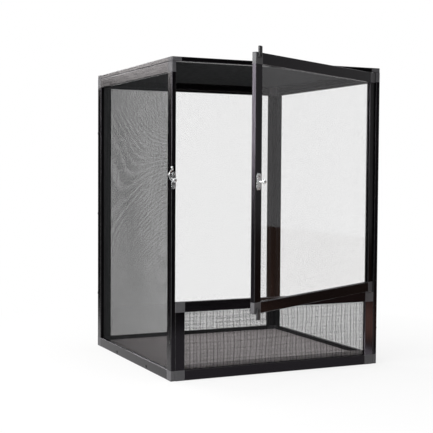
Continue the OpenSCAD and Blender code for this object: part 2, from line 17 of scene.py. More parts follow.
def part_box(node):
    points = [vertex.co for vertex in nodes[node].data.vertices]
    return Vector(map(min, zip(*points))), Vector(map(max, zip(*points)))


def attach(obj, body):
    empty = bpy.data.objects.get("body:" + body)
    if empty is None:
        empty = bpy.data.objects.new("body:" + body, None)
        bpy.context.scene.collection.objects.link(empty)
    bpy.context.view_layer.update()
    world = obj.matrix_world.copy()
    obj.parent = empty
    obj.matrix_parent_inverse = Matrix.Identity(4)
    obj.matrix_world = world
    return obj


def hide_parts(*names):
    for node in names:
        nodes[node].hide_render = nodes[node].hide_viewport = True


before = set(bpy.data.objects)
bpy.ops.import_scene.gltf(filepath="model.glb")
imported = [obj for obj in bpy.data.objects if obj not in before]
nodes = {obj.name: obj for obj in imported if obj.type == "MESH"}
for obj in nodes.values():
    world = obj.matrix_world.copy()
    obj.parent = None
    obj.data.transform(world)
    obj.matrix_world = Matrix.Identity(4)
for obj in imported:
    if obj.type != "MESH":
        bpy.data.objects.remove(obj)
scene = bpy.context.scene
scene.view_settings.view_transform = "Standard"
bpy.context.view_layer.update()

# %% [markdown]
# ## Sizes
#
# These are the cage's own sizes in metres, the same as in the CAD source. The door stands open, so whatever belongs
# to it is made in the closed place first and then turned about the hinge's axis.

# %% Sizes of the cage
CAGE_W, CAGE_D, CAGE_H = 0.450, 0.425, 0.595
BAR_T = 0.0085
LOWER_H = 0.1465
FLOOR_T = 0.0115
FRONT = -CAGE_D / 2
HINGE = Vector((0.20985, -0.20855, 0.0))
DOOR_OPEN = math.radians(29)
DOOR_FRONT = -0.2128
DOOR_LOW, DOOR_HIGH = 0.148, 0.585
LATCH = Vector((-0.22075, FRONT, 0.370))
X, Y, Z = range(3)

door_turn = (Matrix.Translation(HINGE) @ Matrix.Rotation(DOOR_OPEN, 4, "Z")
             @ Matrix.Translation(-HINGE))
print("door turned by", round(math.degrees(DOOR_OPEN)), "degrees about", tuple(HINGE))

# %% [markdown]
# ## Camera
#
# The photograph was taken from the front left, a little below the middle of the cage, with a fairly long lens. The
# camera's place and turn come from fitting a pinhole camera to the cage's corners. A camera looks along its own
# minus Z, so its three axes are worked out as vectors and put into a matrix.

# %% Camera
LENS_MM = 82.84
CAMERA_PLACE = Vector((-0.91856, -1.89115, 0.38539))
YAW, PITCH, ROLL = (math.radians(angle) for angle in (25.046, 2.548, 0.358))

ahead = Vector((math.sin(YAW) * math.cos(PITCH), math.cos(YAW) * math.cos(PITCH), -math.sin(PITCH)))
level = Vector((math.cos(YAW), -math.sin(YAW), 0))
right = level * math.cos(ROLL) + level.cross(ahead) * math.sin(ROLL)
up = right.cross(ahead)
camera = bpy.data.objects.new("camera", bpy.data.cameras.new("camera"))
camera.data.lens = LENS_MM
camera.matrix_world = (Matrix.Translation(CAMERA_PLACE)
                       @ Matrix((right, up, -ahead)).transposed().to_4x4())
scene.collection.objects.link(camera)
scene.camera = camera
print("camera", LENS_MM, "mm, from", tuple(round(c, 3) for c in CAMERA_PLACE))

# %% [markdown]
# ## Shader maths
#
# Node trees are easier to read as sums than as drawings. A `Signal` wraps one output socket and gives it the
# operators of ordinary arithmetic, so `0.3 + 0.1 * grain` adds two Math nodes. A `Graph` is one node tree; its `add`
# makes any other node from its type, its settings and the values or signals that go into its sockets. A `Finish` is
# the graph of one material, with the few nodes that most materials here use.

# %% Signal, Graph and Finish
NOISE_ROUGHNESS = 0.55


class Signal:
    """One output socket that Python's operators can work on."""

    def __init__(self, graph, socket):
        self.graph, self.socket = graph, socket

    def math(self, operation, other):
        """A Math node that works on this signal and another value or signal."""
        return self.graph.add("ShaderNodeMath", {"operation": operation}, {0: self, 1: other})

    def __add__(self, other):
        return self.math("ADD", other)

    def __mul__(self, other):
        return self.math("MULTIPLY", other)

    def most(self, other):
        """The larger of two signals."""
        return self.math("MAXIMUM", other)

    __radd__ = __add__
    __rmul__ = __mul__


class Graph:
    """One node tree, with a method that adds any node to it."""

    def __init__(self, tree):
        self.tree = tree

    def add(self, kind, settings=None, sockets=None, out=0):
        """Add a node, give it its settings and inputs, and return one of its outputs."""
        node = self.tree.nodes.new(kind)
        for key, value in (settings or {}).items():
            setattr(node, key, value)
        for key, value in (sockets or {}).items():
            self.feed(node.inputs[key], value)
        return Signal(self, node.outputs[out])

    def feed(self, socket, value):
        """Link a signal to a socket, or set the socket to a plain value."""
        if isinstance(value, Signal):
            self.tree.links.new(value.socket, socket)
        else:
            socket.default_value = value


class Finish(Graph):
    """One material."""

    def __init__(self, name):
        self.material = bpy.data.materials.new(name)
        self.material.use_nodes = True
        super().__init__(self.material.node_tree)
        self.shader = self.tree.nodes["Principled BSDF"]

    def set(self, sockets):
        """Feed the sockets of the Principled shader."""
        for key, value in sockets.items():
            self.feed(self.shader.inputs[key], value)

    def place(self, scale=(1, 1, 1), turn=0.0):
        """Object coordinates, turned about Z and stretched."""
        where = self.add("ShaderNodeTexCoord", out="Object")
        return self.add("ShaderNodeMapping", None,
                        {"Vector": where, "Rotation": (0, 0, turn), "Scale": scale})

    def noise(self, where, scale, detail):
        """A soft noise from 0 to 1."""
        return self.add("ShaderNodeTexNoise", None,
                        {"Vector": where, "Scale": scale, "Detail": detail, "Roughness": NOISE_ROUGHNESS})

    def blend(self, factor, dark, light):
        """A colour between two colours."""
        return self.add("ShaderNodeMix", {"data_type": "RGBA"},
                        {"Factor": factor, 6: dark, 7: light}, out=2)

    def bump(self, height, strength, distance):
        """A normal that follows a height."""
        return self.add("ShaderNodeBump", None,
                        {"Height": height, "Strength": strength, "Distance": distance})


print("noise roughness", NOISE_ROUGHNESS)

# %% Greys
ROSY, VIOLET, LILAC = (1.08, 1.0, 1.01), (1.02, 1.0, 1.07), (1.12, 1.0, 1.18)


def grey(value, warm=0.0):
    """A grey, warmer where warm is above 0."""
    return (value * (1 + warm), value, value * (1 - warm), 1.0)


def tinted(tint, value):
    """A grey with a trace of a tint."""
    return (*(value * share for share in tint), 1.0)


print("tints:", ROSY, VIOLET, LILAC)

# %% [markdown]
# ## Black anodised bars
#
# The bars are drawn aluminium, dyed black. Real ones show faint drawing lines along their length and a satin sheen
# that changes a little from place to place. A noise that is stretched along the bar gives the lines. Bars lie in
# four directions, so there is one finish for each: along X, Y and Z, and along the open door.
#
# Where an edge is scraped, the bare metal shows through the dye. The faces of worn edges carry a `wear` value, which a
# fine noise breaks up into scuffs. A few bars differ in gloss. The stile under the door's hinge shines and the door's
# hinge stile is dull, to match the photograph. Three rails of the top are dull for another reason: glossier ones flare
# white when they are seen from the right.

# %% Bar finish
LINE_ACROSS, LINE_ALONG = 1500.0, 12.0
WEAR, WORN_TONE = "wear", 0.30
DYE_DARK, DYE_LIGHT, SHEEN = 0.0010, 0.0030, 0.85
SATIN, GLOSSY, DULL, DULL_HINGE = 0.18, 0.75, 0.05, 0.08


def anodised(name, along, turn=0.0, gloss=SATIN):
    """Black dye with drawing lines along one axis, and bare metal where the edges are worn."""
    finish = Finish(name)
    stretch = [LINE_ACROSS] * 3
    stretch[along] = LINE_ALONG
    lines = finish.noise(finish.place(tuple(stretch), turn), scale=1.0, detail=2.0)
    clouds = finish.noise(finish.place(), scale=14.0, detail=3.0)
    scuffs = finish.noise(finish.place(), scale=220.0, detail=3.0)
    bare = finish.add("ShaderNodeAttribute", {"attribute_name": WEAR}, out="Fac") * scuffs
    dye = finish.blend(clouds, tinted(LILAC, DYE_DARK), tinted(LILAC, DYE_LIGHT))
    finish.set({
        "Base Color": finish.blend(bare, dye, grey(WORN_TONE)),
        "Metallic": bare,
        "Specular IOR Level": gloss,
        "Specular Tint": tinted(LILAC, SHEEN),
        "Roughness": 0.09 + 0.05 * lines + 0.05 * clouds,
        "Normal": finish.bump(lines, strength=0.35, distance=0.0004),
    })
    return finish.material


bar_x = anodised("bar_along_x", X)
bar_y = anodised("bar_along_y", Y)
bar_z = anodised("bar_upright", Z)
bar_door = anodised("bar_along_door", X, turn=-DOOR_OPEN)
bar_glossy = anodised("bar_glossy", Z, gloss=GLOSSY)
bar_dull_x = anodised("bar_dull_along_x", X, gloss=DULL)
bar_dull_y = anodised("bar_dull_along_y", Y, gloss=DULL)
bar_dull_z = anodised("bar_dull_upright", Z, gloss=DULL_HINGE)
print("plain bar finishes:", bar_x.name, bar_y.name, bar_z.name, bar_door.name)
print("other bar finishes:", bar_glossy.name, bar_dull_x.name, bar_dull_y.name, bar_dull_z.name)

# %% [markdown]
# ## Corner blocks, spline, screws and pins
#
# The corner blocks are moulded plastic, a shade lighter than the bars, with a fine spark-eroded grain. The spline is
# dull rubber. Screws and pins are steel: blackened on the panels, bright zinc on the latch.

# %% Small finishes
PLASTIC_GRAIN, RUBBER_GRAIN = 2600.0, 1800.0
STREAK_STRETCH, STAIN_SHARE, COLD = (1, 1, 0.15), 0.75, -0.01


def moulded(name, dark, light, grain=PLASTIC_GRAIN):
    """Plastic or rubber with a fine grain."""
    finish = Finish(name)
    speckle = finish.noise(finish.place(), scale=grain, detail=2.0)
    clouds = finish.noise(finish.place(), scale=60.0, detail=3.0)
    finish.set({
        "Base Color": finish.blend(clouds, tinted(VIOLET, dark), tinted(VIOLET, light)),
        "Roughness": 0.42 + 0.2 * speckle,
        "Normal": finish.bump(speckle, strength=0.25, distance=0.0002),
    })
    return finish.material


def plated(name, tone, rough):
    """Steel with upright streaks and a few stains."""
    finish = Finish(name)
    streaks = finish.noise(finish.place(STREAK_STRETCH), scale=900.0, detail=3.0)
    stains = finish.noise(finish.place(), scale=180.0, detail=4.0)
    finish.set({
        "Base Color": finish.blend(stains, grey(tone * STAIN_SHARE, COLD), grey(tone, COLD)),
        "Metallic": 1.0,
        "Roughness": rough + 0.15 * streaks,
        "Normal": finish.bump(streaks, strength=0.1, distance=0.0002),
    })
    return finish.material


block_finish = moulded("corner_plastic", dark=0.050, light=0.078)
tab_finish = moulded("tab_plastic", dark=0.018, light=0.032)
spline_finish = moulded("spline_rubber", dark=0.010, light=0.018, grain=RUBBER_GRAIN)
zinc_finish = plated("bright_zinc", tone=0.85, rough=0.18)
pin_finish = plated("plain_steel", tone=0.45, rough=0.30)
screw_finish = plated("black_steel", tone=0.10, rough=0.30)
print("moulded:", block_finish.name, tab_finish.name, spline_finish.name)
print("plated:", zinc_finish.name, pin_finish.name, screw_finish.name)

# %% [markdown]
# ## Floor board and clear pane
#
# The floor is a pale grey board with a fine fleck. The door's pane is clear acrylic. A sheet this thin bends no line
# of sight, so the pane is a faint mirror on a see-through sheet: each face mirrors 6 to 8 percent of the room, which is
# the pale veil over the post behind it, and the rest passes straight through.

# %% Board and pane finishes
PANE_TINT = (0.985, 0.97, 0.99, 1.0)
PANE_MIRROR, PANE_HAZE = 0.060, 0.02


def board(name, dark, light):
    """A matt board with a fine fleck."""
    finish = Finish(name)
    fleck = finish.noise(finish.place(), scale=700.0, detail=3.0)
    clouds = finish.noise(finish.place(), scale=9.0, detail=4.0)
    finish.set({
        "Base Color": finish.blend(0.5 * fleck + 0.5 * clouds, tinted(ROSY, dark), tinted(ROSY, light)),
        "Roughness": 0.5 + 0.2 * fleck,
        "Normal": finish.bump(fleck, strength=0.1, distance=0.0003),
    })
    return finish.material


board_finish = board("floor_board", dark=0.40, light=0.56)
strip_finish = board("litter_strip", dark=0.80, light=0.90)

pane = Finish("clear_acrylic")
haze = pane.noise(pane.place(), scale=6.0, detail=3.0)
pane.set({
    "Base Color": PANE_TINT,
    "Metallic": 1.0,
    "Roughness": 0.02 + 0.03 * haze,
    "Alpha": PANE_MIRROR + PANE_HAZE * haze,
})
pane_finish = pane.material
print("board and pane finishes:", board_finish.name, strip_finish.name, pane_finish.name)

# %% [markdown]
# ## Dress the CAD nodes
#
# Each CAD node keeps its shape and takes a finish by its name: bars by the way they run, and the rest by what they
# are made of.

# %% Give the nodes their finishes
BY_NAME = {
    "top_front_rail": bar_dull_x, "top_rear_rail": bar_dull_x, "top_right_rail": bar_dull_y, "top_left_rail": bar_y,
    "door_hinge_stile": bar_dull_z, "door_top_rail": bar_door, "door_bottom_rail": bar_door,
    "lower_right_stile": bar_glossy,
    "floor_board": board_finish, "litter_strip": strip_finish, "door_pane": pane_finish,
}
BY_END = {"_corners": block_finish, "_tab": tab_finish, "_spline": spline_finish, "_pin": pin_finish, "_stile": bar_z}
BY_START = {"latch_": zinc_finish, "keeper_": zinc_finish, "left_": bar_y, "right_": bar_y}


def finish_of(name):
    """A node's finish: by its whole name, else by how the name ends, else by how it starts."""
    if name in BY_NAME:
        return BY_NAME[name]
    by_end = [finish for end, finish in BY_END.items() if name.endswith(end)]
    by_start = [finish for start, finish in BY_START.items() if name.startswith(start)]
    return (by_end + by_start + [bar_x])[0]


for name, node in nodes.items():
    node.data.materials.clear()
    node.data.materials.append(finish_of(name))
print("dressed", len(nodes), "nodes")

# %% [markdown]
# ## New pieces
#
# A new piece is built in a bmesh, in the cage's own frame, and turned into an object that sits at the origin. It then
# rides on a CAD body and says which CAD node it stands for. A piece of several parts is put together in one bmesh.

# %% Turn a bmesh into a piece
def join(bm, part, place):
    """Put a part in its place and add it to a piece's bmesh."""
    bmesh.ops.transform(part, matrix=place, verts=part.verts)
    mesh = bpy.data.meshes.new("part_work")
    part.to_mesh(mesh)
    part.free()
    bm.from_mesh(mesh)
    bpy.data.meshes.remove(mesh)


def make_piece(name, bm, finish, body, slot, *stands_for):
    """Make a bmesh into a piece that rides on a body in place of its CAD nodes."""
    bmesh.ops.recalc_face_normals(bm, faces=bm.faces)
    mesh = bpy.data.meshes.new(name)
    bm.to_mesh(mesh)
    bm.free()
    mesh.materials.append(finish)
    piece = bpy.data.objects.new(name, mesh)
    scene.collection.objects.link(piece)
    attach(piece, body)
    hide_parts(*stands_for)
    print(name, len(mesh.polygons), "faces, in place of", stands_for)
    return piece


# %% [markdown]
# ## Panels with their smooth side out
#
# In the photograph the bars' outer faces are smooth from edge to edge, and the mesh lies deep inside its frame. So the
# side of each panel that has the groove, the spline and the mesh faces into the cage. The CAD panels have it outside.
# A panel is the same on its left and right, so each of its pieces is mirrored in the panel's own thickness, about
# the plane halfway through the bars. The panel itself stays in its place.

# %% The mirror of each panel
PANEL_FACES = {"left": (X, -CAGE_W / 2), "right": (X, CAGE_W / 2), "back": (Y, CAGE_D / 2),
               "lower": (Y, FRONT), "top": (Z, CAGE_H)}
SAME_POINT = 1e-6


def turn_over(panel):
    """The mirror that turns a panel over in its own thickness."""
    axis, face = PANEL_FACES[panel]
    middle, flip = Vector((0, 0, 0)), Vector((1, 1, 1))
    middle[axis] = face - math.copysign(BAR_T / 2, face)
    flip[axis] = -1
    return Matrix.Translation(middle) @ Matrix.Diagonal(flip).to_4x4() @ Matrix.Translation(-middle)


def copy_node(name):
    """A node's mesh with its loose triangles joined."""
    bm = bmesh.new()
    bm.from_mesh(nodes[name].data)
    bmesh.ops.remove_doubles(bm, verts=bm.verts, dist=SAME_POINT)
    return bm


def turn_piece(bm, name):
    """Turn a piece over with its panel. The door has no groove and stays as it is."""
    panel = name.split("_")[0]
    if panel in PANEL_FACES:
        bmesh.ops.transform(bm, matrix=turn_over(panel), verts=bm.verts)
        bmesh.ops.reverse_faces(bm, faces=bm.faces)


for panel in PANEL_FACES:
    bm = copy_node(panel + "_spline")
    turn_piece(bm, panel)
    cord = make_piece(panel + "_cord", bm, spline_finish, "cage", "spline", panel + "_spline")
    cord.data.shade_smooth()

# %% [markdown]
# ## Soft edges on bars and blocks
#
# No drawn bar and no moulded block has a knife edge: a small radius runs along each, and it is what catches the light
# as a thin bright line. The CAD bars have sharp edges, so each is copied into a bmesh, its flat triangles are joined
# into whole faces, and the long outward edges are bevelled. A bevel only takes material away, so every joint still
# fits. The new faces get their `wear` value here: the bottom rails of the two sides and the back are scraped, and the
# other edges are hardly worn.
#
# Two blocks also hold the door's hinge pins. Turned over with its panel, such a block would have the pin's hole on its
# wrong side, so the old hole is closed first and the hole is drilled again where the pin stands.

# %% Holes for the hinge pins
PIN_HOLE_R, PIN_DEPTH, OVERRUN = 0.00155, 0.006, 0.0002
PIN_HOLE_SIDES = 32
PIN_HOLES = {"top_corners": (CAGE_H - BAR_T, 1), "lower_corners": (LOWER_H, -1)}


def plug(bm):
    """Close the pin's hole of a block that has not been turned over yet."""
    hole = {vert for vert in bm.verts if (vert.co.xy - HINGE.xy).length < PIN_HOLE_R + OVERRUN}
    bmesh.ops.delete(bm, geom=[face for face in bm.faces if hole.issuperset(face.verts)], context="FACES")
    bmesh.ops.holes_fill(bm, edges=[edge for edge in bm.edges if edge.is_boundary], sides=0)


def drill(bm, mouth, into):
    """Cut the pin's hole with a boolean: it starts at the level of its mouth and goes up or down."""
    part = bmesh.new()
    middle = Vector((HINGE.x, HINGE.y, mouth + into * PIN_DEPTH / 2))
    bmesh.ops.create_cone(part, cap_ends=True, segments=PIN_HOLE_SIDES, radius1=PIN_HOLE_R, radius2=PIN_HOLE_R,
                          depth=PIN_DEPTH + 2 * OVERRUN, matrix=Matrix.Translation(middle))
    work = []
    for name, source in (("block_work", bm), ("bit_work", part)):
        work.append(bpy.data.objects.new(name, bpy.data.meshes.new(name)))
        source.to_mesh(work[-1].data)
        scene.collection.objects.link(work[-1])
    part.free()
    hole = work[0].modifiers.new("hole", "BOOLEAN")
    hole.object, hole.operation, hole.solver = work[1], "DIFFERENCE", "EXACT"
    cut = bpy.data.meshes.new_from_object(work[0].evaluated_get(bpy.context.evaluated_depsgraph_get()))
    bm.clear()
    bm.from_mesh(cut)
    for mesh in [item.data for item in work] + [cut]:
        bpy.data.meshes.remove(mesh)


print("pin holes in", ", ".join(PIN_HOLES))

# %% Bevel the long edges
BAR_EDGE_R, BAR_EDGE_L = 0.0005, 0.05
BLOCK_EDGE_R, BLOCK_EDGE_L = 0.0006, 0.006
FLAT_ANGLE, SHARP_ANGLE = math.radians(1), math.radians(40)
SCRAPED = ("left_bottom_rail", "right_bottom_rail", "back_bottom_rail")
FULL_WEAR, LIGHT_WEAR = 1.0, 0.15


def soften(name, radius, shortest, slot):
    """Copy a bar or block, bevel its outward edges that are long enough, and turn it over with its panel."""
    bm = copy_node(name)
    if name in PIN_HOLES:
        plug(bm)
    wear = bm.faces.layers.float.new(WEAR)
    bmesh.ops.dissolve_limit(bm, angle_limit=FLAT_ANGLE, verts=bm.verts, edges=bm.edges)
    edges = [edge for edge in bm.edges
             if edge.is_convex and edge.calc_length() > shortest and edge.calc_face_angle(0.0) > SHARP_ANGLE]
    made = bmesh.ops.bevel(bm, geom=edges, offset=radius, segments=2, profile=0.5, affect="EDGES",
                           clamp_overlap=True, material=-1)
    for face in made["faces"]:
        face[wear] = FULL_WEAR if name in SCRAPED else LIGHT_WEAR
    turn_piece(bm, name)
    if name in PIN_HOLES:
        drill(bm, *PIN_HOLES[name])
    body = "door" if name.startswith("door_") else "cage"
    make_piece("soft_" + name, bm, finish_of(name), body, slot, name)


for name in list(nodes):
    if name.endswith(("_rail", "_stile")):
        soften(name, BAR_EDGE_R, BAR_EDGE_L, "frame_bar")
    if name.endswith("_corners"):
        soften(name, BLOCK_EDGE_R, BLOCK_EDGE_L, "corner_block")

# %% [markdown]
# ## Woven screens
#
# The screen is a fine grid of dark matt wires, about one and a half millimetres apart. It could be a picture with
# holes, but real wires have a lit side, cross in front of each other and make the same kind of shimmer as in the
# photograph. Each wire is one thin four-sided rod, bent a few times, so that the screen sways a little inside its frame
# as a real one does. The top looks lighter in the photograph, so its wires are a lighter copy of the same wire: painted
# light that stands in for the light on the top's underside.

# %% Screen finish
WIRE_STRETCH, WIRE_COLD = (1, 1, 0.25), -0.03


def screen_wire(name, dark, light):
    """Dark matt wire with faint streaks."""
    finish = Finish(name)
    streaks = finish.noise(finish.place(WIRE_STRETCH), scale=90.0, detail=3.0)
    finish.set({
        "Base Color": finish.blend(streaks, grey(dark, WIRE_COLD), grey(light, WIRE_COLD)),
        "Specular IOR Level": 0.0,
        "Roughness": 0.35 + 0.2 * streaks,
    })
    return finish.material


wire_finish = screen_wire("screen_wire", dark=0.010, light=0.026)
# painted light: the top's wires are the same wire made lighter, standing in for light on the top's underside
painted_lighter_wire_finish = screen_wire("painted_lighter_wire", dark=0.020, light=0.048)
print("wire finishes:", wire_finish.name, painted_lighter_wire_finish.name)

# %% Wires and their sway
PITCH_M = 0.0015
BENDS, SWAY_M = 7, 0.003
SWAY_WAVES = ((7.5, -4.4, 1.0), (3.8, 9.4, 0.0))
QUICK_BEAT, SLOW_BEAT, DRIFT, DRIFT_SHARE = 1.37, 0.83, 0.11, 0.6


def rod(bm, start, end, thick):
    """A thin four-sided rod from start to end."""
    along = end - start
    turn = along.to_track_quat("Z", "Y").to_matrix().to_4x4()
    bmesh.ops.create_cone(
        bm, cap_ends=True, segments=4, radius1=thick / 2, radius2=thick / 2, depth=along.length,
        matrix=Matrix.Translation((start + end) / 2) @ turn)


def sway(u, v):
    """How far the screen wanders inside its frame, at shares u and v of its two sides."""
    hold = SWAY_M * math.sin(math.pi * u) * math.sin(math.pi * v)
    return [hold * math.sin(by_u * u + by_v * v + start) for by_u, by_v, start in SWAY_WAVES]


def beat(i):
    """The uneven spacing of the loom at wire number i, from -2 to 2."""
    return math.sin(QUICK_BEAT * i) + math.sin(SLOW_BEAT * i + DRIFT_SHARE * math.sin(DRIFT * i))


print("wires", PITCH_M, "m apart, swaying by up to", SWAY_M)

# %% [markdown]
# The CAD node's own box, turned over with its panel, says where a screen lies. The wires run at the inner side of that
# box, and the hem turns back from there into the groove. The screens look more or less dense in the photograph, so
# each has its own thickness of wire for the two layers. The lower screen is also spaced a little unevenly, which gives
# its streaks.

# %% Weave the screens
HEM_T = 0.0003
FIRST_LEVEL, NEXT_LEVEL = 0.7, 0.55
SCREENS = {
    "left": (wire_finish, (0.00048, 0.0), (0.00034, 0.0)),
    "right": (wire_finish, (0.00010, 0.0), (0.00006, 0.0)),
    "back": (wire_finish, (0.00021, 0.0), (0.00008, 0.0)),
    "top": (painted_lighter_wire_finish, (0.00043, 0.0), (0.00043, 0.0)),
    "lower": (wire_finish, (0.00050, 0.12), (0.00050, 0.26)),
}


def add_hem(bm, low, high, depth_axis, across):
    """The four strips along the edges of a screen."""
    for run, step in (across, across[::-1]):
        for edge, side in ((low[step], 1), (high[step], -1)):
            size, middle = Vector((0, 0, 0)), Vector((0, 0, 0))
            size[run], size[step] = high[run] - low[run] - 2 * BAR_T, HEM_T
            size[depth_axis] = high[depth_axis] - low[depth_axis]
            middle[run], middle[step] = (low[run] + high[run]) / 2, edge + side * HEM_T / 2
            middle[depth_axis] = (low[depth_axis] + high[depth_axis]) / 2
            bmesh.ops.create_cube(bm, size=1.0, matrix=Matrix.LocRotScale(middle, None, size))


def weave(panel, finish, *layers):
    """The screen of one panel: two layers of rods, each with its thickness and unevenness, and the hem."""
    node = panel + "_mesh"
    depth_axis, face = PANEL_FACES[panel]
    corners = [turn_over(panel) @ Vector(corner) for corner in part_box(node)]
    low, high = (Vector(tuple(map(pick, *corners))) for pick in (min, max))
    outward = math.copysign(1.0, face)
    inner = (low if outward > 0 else high)[depth_axis]
    across = [axis for axis in range(3) if axis != depth_axis]
    bm = bmesh.new()
    for place, ((run, step), (wire, uneven)) in enumerate(zip((across, across[::-1]), layers)):
        level = inner + outward * (wire * FIRST_LEVEL + place * wire * NEXT_LEVEL)
        count = round((high[step] - low[step]) / PITCH_M)
        for i in range(count + 1):
            start = Vector((0, 0, 0))
            start[depth_axis], start[run] = level, low[run]
            start[step] = low[step] + wire / 2 + (high[step] - low[step] - wire) * i / count
            start[step] += uneven * PITCH_M * beat(i) if 1 < i < count - 1 else 0.0
            end = start.copy()
            end[run] = high[run]
            rod(bm, start, end, wire)
    long_edges = [edge for edge in bm.edges if edge.calc_length() > PITCH_M]
    bmesh.ops.subdivide_edges(bm, edges=long_edges, cuts=BENDS)
    for vert in bm.verts:
        shares = [(vert.co[axis] - low[axis]) / (high[axis] - low[axis]) for axis in across]
        for axis, move in zip(across, sway(*shares)):
            vert.co[axis] += move
    add_hem(bm, low, high, depth_axis, across)
    make_piece(panel + "_screen", bm, finish, "cage", "mesh", node)


for panel, (finish, *layers) in SCREENS.items():
    weave(panel, finish, *layers)

# %% [markdown]
# ## Screws
#
# The panels, the latch and the tabs are held by pan-head screws with a cross recess. The head's top is a plus-shaped
# face above a round rim. The plus is bridged to the rim, which makes the dome, and then pushed down to make the recess.
# The rim is extruded down to the head's underside.

# %% A screw head
CROSS_REACH, CROSS_HALF = 0.55, 0.17
RIM_LEVEL, RECESS_DEPTH = 0.7, 0.6


def screw_head(bm, place, radius, height):
    """A pan head with a cross recess, its underside at Z = 0 of the given place."""
    arm, half = radius * CROSS_REACH, radius * CROSS_HALF
    corners = [Matrix.Rotation(quarter * math.pi / 2, 3, "Z") @ Vector((x, y, height))
               for quarter in range(4) for x, y in ((arm, -half), (arm, half), (half, half))]
    outline = [point for a, b in zip(corners, corners[1:] + corners[:1]) for point in (a, (a + b) / 2)]
    part = bmesh.new()
    plus = part.faces.new([part.verts.new(point) for point in outline])
    rim = bmesh.ops.create_circle(part, segments=len(outline), radius=radius,
                                  matrix=Matrix.Translation((0, 0, height * RIM_LEVEL)))["verts"]
    rim_edges = list({edge for vert in rim for edge in vert.link_edges})
    bmesh.ops.bridge_loops(part, edges=list(plus.edges) + rim_edges)
    plus = max(part.faces, key=lambda face: len(face.verts))
    sunk = bmesh.ops.extrude_discrete_faces(part, faces=[plus])["faces"][0]
    bmesh.ops.translate(part, verts=list(sunk.verts), vec=(0, 0, -height * RECESS_DEPTH))
    open_edges = [edge for edge in part.edges if edge.is_boundary]
    skirt = bmesh.ops.extrude_edge_only(part, edges=open_edges)["geom"]
    bmesh.ops.translate(part, verts=[item for item in skirt if isinstance(item, bmesh.types.BMVert)],
                        vec=(0, 0, -height * RIM_LEVEL))
    join(bm, part, place)


def facing(place, normal):
    """A matrix that puts Z along the normal at a place."""
    return Matrix.Translation(place) @ Vector(normal).to_track_quat("Z", "Y").to_matrix().to_4x4()


def screw_heads(name, places, head, finish, body, slot, node):
    """One piece with a screw head at each place."""
    bm = bmesh.new()
    for place in places:
        screw_head(bm, place, *head)
    make_piece(name, bm, finish, body, slot, node)


print("a screw head's cross reaches", CROSS_REACH, "of its radius")

# %% Screw heads
FORWARD, UPWARD = (0, -1, 0), (0, 0, 1)
PANEL_HEAD, SMALL_HEAD = (0.0033, 0.0009), (0.0023, 0.0012)
PLATE_T, TAB_T = 0.0012, 0.0030
SIDE_SCREWS = [(0.20825, 0.1173), (0.20825, 0.29325), (0.20825, 0.4692), (-0.20825, 0.07325),
               (0.085, FLOOR_T / 2), (-0.085, FLOOR_T / 2)]
TOP_SCREWS = [(x, y) for x in (-0.22075, 0.22075) for y in (-0.085, 0.085)]
TOP_SCREWS += [(-0.0866, 0.20825), (0.0866, 0.20825)]
LATCH_SCREWS_UP, KEEPER_SCREWS_UP = (-0.011, 0.011), (-0.0095, 0.0095)
KEEPER = Vector((-0.2055, DOOR_FRONT, 0.370))
TAB_X, TAB_SCREW_Z = -0.20475, (0.1525, 0.5805)

at_sides = [facing((side * CAGE_W / 2, y, z), (side, 0, 0)) for side in (-1, 1) for y, z in SIDE_SCREWS]
at_top = [facing((x, y, CAGE_H), UPWARD) for x, y in TOP_SCREWS]
at_latch = [facing(LATCH + Vector((0, -PLATE_T, up)), FORWARD) for up in LATCH_SCREWS_UP]
at_keeper = [door_turn @ facing(KEEPER + Vector((0, -PLATE_T, up)), FORWARD) for up in KEEPER_SCREWS_UP]
at_tabs = [door_turn @ facing((TAB_X, DOOR_FRONT - TAB_T, z), FORWARD) for z in TAB_SCREW_Z]
screw_heads("panel_screw_heads", at_sides + at_top, PANEL_HEAD, screw_finish, "cage", "dark_screw", "panel_screws")
screw_heads("latch_screw_heads", at_latch, SMALL_HEAD, zinc_finish, "cage", "bright_metal", "latch_screws")
screw_heads("keeper_screw_heads", at_keeper, SMALL_HEAD, zinc_finish, "door", "bright_metal", "keeper_screws")
screw_heads("tab_screw_heads", at_tabs, SMALL_HEAD, screw_finish, "door", "dark_screw", "stop_tab_screws")

# %% [markdown]
# ## Latch hook
#
# The hook is bent from a flattened round rod: an eye on the rivet, an arc that opens to the right, a short tip and a
# ball for the finger. A ring of vertices is spun through the arc, the eye is a rounded outline spun full circle round
# the rivet, a flattened sphere fills the elbow between arc and tip, and the ball is a sphere on the tip.

# %% Rounded outlines
EYE_STEPS = 28


def turned(bm, outline, place):
    """Spin a closed outline of (radius, height) points full circle round Z of a place."""
    verts = [bm.verts.new(place @ Vector((r, 0, z))) for r, z in outline]
    ring = [bm.edges.new((a, b)) for a, b in zip(verts, verts[1:] + verts[:1])]
    bmesh.ops.spin(bm, geom=verts + ring, cent=place.translation, axis=place.to_3x3() @ Vector(UPWARD),
                   dvec=(0, 0, 0), angle=2 * math.pi, steps=EYE_STEPS, use_merge=True)


def rounded(r0, r1, z0, z1, soft):
    """A rectangle of radii r0 to r1 and heights z0 to z1 with its corners cut twice."""
    mid = soft * (1 - math.sqrt(0.5))
    corners = ((r1, z0, -1, 1), (r1, z1, -1, -1), (r0, z1, 1, -1), (r0, z0, 1, 1))
    points = []
    for n, (r, z, into_r, into_z) in enumerate(corners):
        cut_points = [(r + into_r * soft, z), (r + into_r * mid, z + into_z * mid), (r, z + into_z * soft)]
        points += cut_points if n % 2 == 0 else cut_points[::-1]
    return points


print("round parts turn in", EYE_STEPS, "steps")

# %% A rounded hook
HOOK_BACK, HOOK_T, HOOK_W = 0.0042, 0.0020, 0.0030
HOOK_R, HOOK_THROW, HOOK_FROM, HOOK_TO = 0.0105, 0.0095, math.radians(105), math.radians(250)
EYE_R, EYE_HOLE_R, EYE_SOFT = 0.0040, 0.00155, 0.0005
TIP_L, BALL_R = 0.0045, 0.0021
ROUND, ARC_STEPS, ELBOW_RINGS, BALL_RINGS = 16, 24, 10, 12

